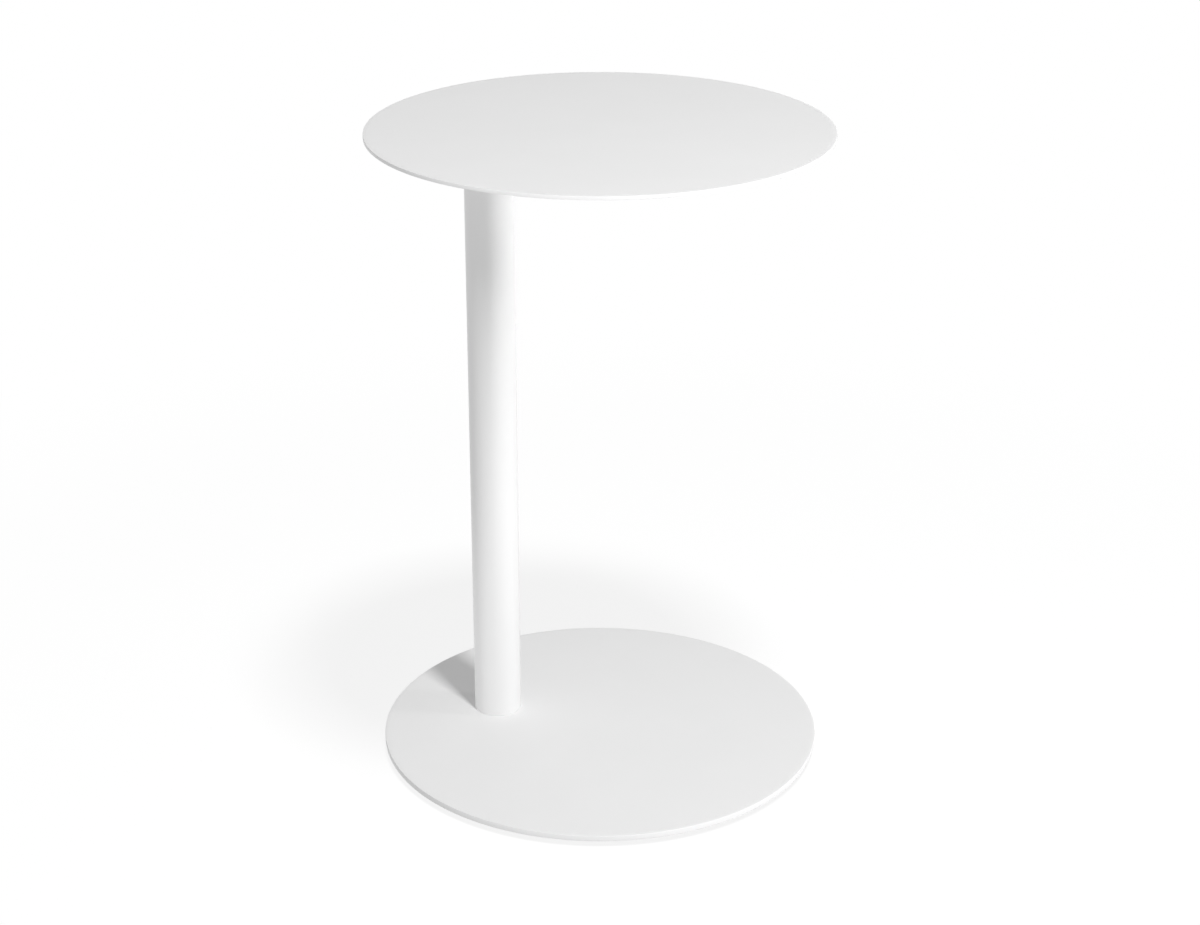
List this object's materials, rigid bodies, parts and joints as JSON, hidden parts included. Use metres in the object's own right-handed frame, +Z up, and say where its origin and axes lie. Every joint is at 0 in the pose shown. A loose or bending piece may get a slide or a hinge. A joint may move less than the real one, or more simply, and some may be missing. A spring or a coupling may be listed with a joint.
{
  "type": "side table",
  "caption": "Round side table: a thin steel top and a thicker steel base plate on one off-centre round tube, so that the base slides under a seat.",
  "frame": {"origin": "on the floor, under the centre of the base plate, level with the undersides of the glide pads", "axes": "+Z up; the post stands on the -X side and the open side faces +X; +Y completes a right-handed frame"},
  "size_m": [0.3799, 0.38, 0.552],
  "materials": {
    "white_powder_coat": "satin",
    "zinc_plated_steel": "satin",
    "bare_steel": "as rolled",
    "white_nylon": "matte",
    "foam_tape": "matte"
  },
  "bodies": {
    "root": {"top_plate": "white_powder_coat", "top_weld_studs": "zinc_plated_steel", "mounting_flange": "white_powder_coat", "flange_nuts": "zinc_plated_steel", "flange_weld": "white_powder_coat", "post_tube": "white_powder_coat", "base_plug": "bare_steel", "plug_welds": "bare_steel", "base_plate": "white_powder_coat", "base_screws": "zinc_plated_steel", "glide_pads": "white_nylon", "glide_tapes": "foam_tape"}
  },
  "joints": []
}
